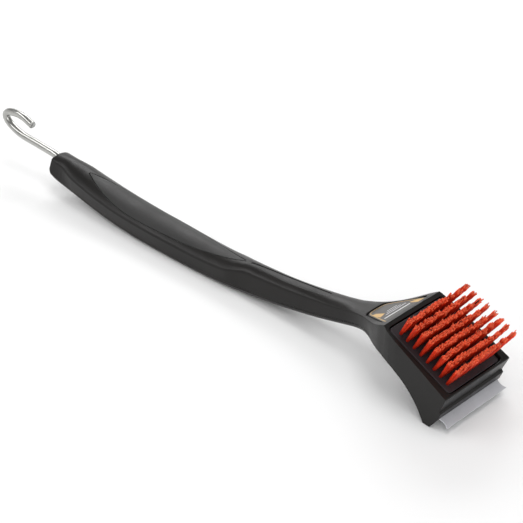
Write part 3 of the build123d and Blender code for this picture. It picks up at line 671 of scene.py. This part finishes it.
# Bars and patches in millimetres: forward from the plate's rear edge, then across.
BARS = (
    (24.0, 25.3, -17.0, 12.0), (19.7, 20.4, -10.5, 12.5), (17.2, 17.7, -6.5, 9.5), (14.7, 15.2, -3.5, 8.0),
)
for number, (rear, front, near, far) in enumerate(BARS):
    plate_patch(f"nameplate_bar_{number + 1}", bar_outline(rear, front, near, far), PLATE_WHITE, 0.06 * MM)
NEAR_PATCH = [(7.2, -11.6), (10.6, -13.6), (18.6, -14.8), (16.4, -7.4), (8.4, -8.6)]
FAR_PATCH = [
    (22.5, 14.0), (25.0, 13.6), (28.0, 14.2), (31.2, 16.0), (31.2, 23.6), (29.6, 23.2), (26.0, 21.2),
]
plate_patch("nameplate_corner_near", NEAR_PATCH[::-1], PLATE_GOLD, 0.05 * MM)
plate_patch("nameplate_corner_far", FAR_PATCH[::-1], PLATE_GOLD, 0.05 * MM)


# ---- stage, light and camera -------------------------------------------------------------------------
WHITE_LEVEL = 0.95         # of the studio's walls


def stage_floor():
    """Large pale floor, just under the resting surface; far out it glows as the studio's walls do."""
    mesh = bpy.data.meshes.new("floor")
    side = 12.0
    corners = [(-side, -side, 0), (side, -side, 0), (side, side, 0), (-side, side, 0)]
    mesh.from_pydata(corners, [], [(0, 1, 2, 3)])
    tree = Tree("floor_white")
    tone = tree.noise(3.0, 2.0)
    base = tree.ramp(tone, [(0.0, (0.90, 0.90, 0.90)), (1.0, (0.93, 0.93, 0.93))])
    distance = tree.nodes.new("ShaderNodeVectorMath")
    distance.operation = "LENGTH"
    tree.link(tree.position, distance.inputs[0])
    far_out = tree.span(distance.outputs["Value"], 0.7, 2.0)
    tree.shader.inputs["Emission Color"].default_value = (1.0, 1.0, 1.0, 1.0)
    tree.link(tree.math("MULTIPLY", far_out, WHITE_LEVEL), tree.shader.inputs["Emission Strength"])
    mesh.materials.append(tree.finish(tree.mix(far_out, base, (0.0, 0.0, 0.0)), 0.9))
    floor = bpy.data.objects.new("floor", mesh)
    floor.location.z = -0.0002
    bpy.context.scene.collection.objects.link(floor)


def softbox(name, place, target, size, power, colour=(1, 1, 1)):
    lamp = bpy.data.lights.new(name, "AREA")
    lamp.shape = "RECTANGLE"
    lamp.size, lamp.size_y = size
    lamp.energy = power
    lamp.color = colour
    thing = bpy.data.objects.new(name, lamp)
    thing.location = place
    thing.rotation_mode = "QUATERNION"
    thing.rotation_quaternion = (Vector(target) - Vector(place)).to_track_quat("-Z", "Y")
    bpy.context.scene.collection.objects.link(thing)


stage_floor()
softbox("key", (-0.9, 1.0, 1.0), (0.0, 0.0, 0.0), (1.1, 0.5), 10.0)
softbox("crease", (-1.1, -0.95, 1.25), (0.0, 0.0, 0.0), (1.3, 0.35), 8.0)
softbox("fill", (1.3, -1.1, 1.5), (0.1, 0.0, 0.0), (1.4, 1.4), 15.0)
softbox("top", (0.2, 0.1, 1.9), (0.1, 0.0, 0.0), (1.2, 0.8), 12.0)


def studio_world():
    """Pale walls around the stage and a darker ceiling, so that metal and gloss have something to mirror."""
    world = bpy.data.worlds.new("studio")
    world.use_nodes = True
    nodes, link = world.node_tree.nodes, world.node_tree.links.new
    direction = nodes.new("ShaderNodeTexCoord").outputs["Generated"]
    height = nodes.new("ShaderNodeSeparateXYZ")
    link(direction, height.inputs[0])
    walls = nodes.new("ShaderNodeValToRGB")
    stops = [(0.0, 1.0), (0.16, 1.0), (0.42, 0.34), (1.0, 0.28)]
    while len(walls.color_ramp.elements) < len(stops):
        walls.color_ramp.elements.new(0.5)
    for element, (place, level) in zip(walls.color_ramp.elements, stops):
        element.position = place
        element.color = (level, level, level, 1.0)
    link(height.outputs["Z"], walls.inputs["Fac"])
    link(walls.outputs["Color"], nodes["Background"].inputs["Color"])
    nodes["Background"].inputs["Strength"].default_value = WHITE_LEVEL
    return world


world = studio_world()
bpy.context.scene.world = world
bpy.context.scene.view_settings.view_transform = "Standard"

CAMERA_PLACE = Vector((0.8146, -0.8216, 0.7427))
CAMERA_AZIMUTH = math.radians(43.0)
CAMERA_ELEVATION = math.radians(32.3)
CAMERA_ROLL = math.radians(1.41)
LENS = 117.0


def photo_camera():
    sin_a, cos_a = math.sin(CAMERA_AZIMUTH), math.cos(CAMERA_AZIMUTH)
    sin_e, cos_e = math.sin(CAMERA_ELEVATION), math.cos(CAMERA_ELEVATION)
    back = Vector((sin_a * cos_e, -cos_a * cos_e, sin_e))
    level_right = Vector((cos_a, sin_a, 0.0))
    level_up = back.cross(level_right)
    right = level_right * math.cos(CAMERA_ROLL) + level_up * math.sin(CAMERA_ROLL)
    up = back.cross(right)
    data = bpy.data.cameras.new("camera")
    data.lens = LENS
    data.sensor_width = 36.0
    data.clip_start, data.clip_end = 0.05, 30.0
    camera = bpy.data.objects.new("camera", data)
    turned = Matrix((right, up, back)).transposed().to_4x4()
    camera.matrix_world = Matrix.Translation(CAMERA_PLACE) @ turned
    bpy.context.scene.collection.objects.link(camera)
    bpy.context.scene.camera = camera


photo_camera()
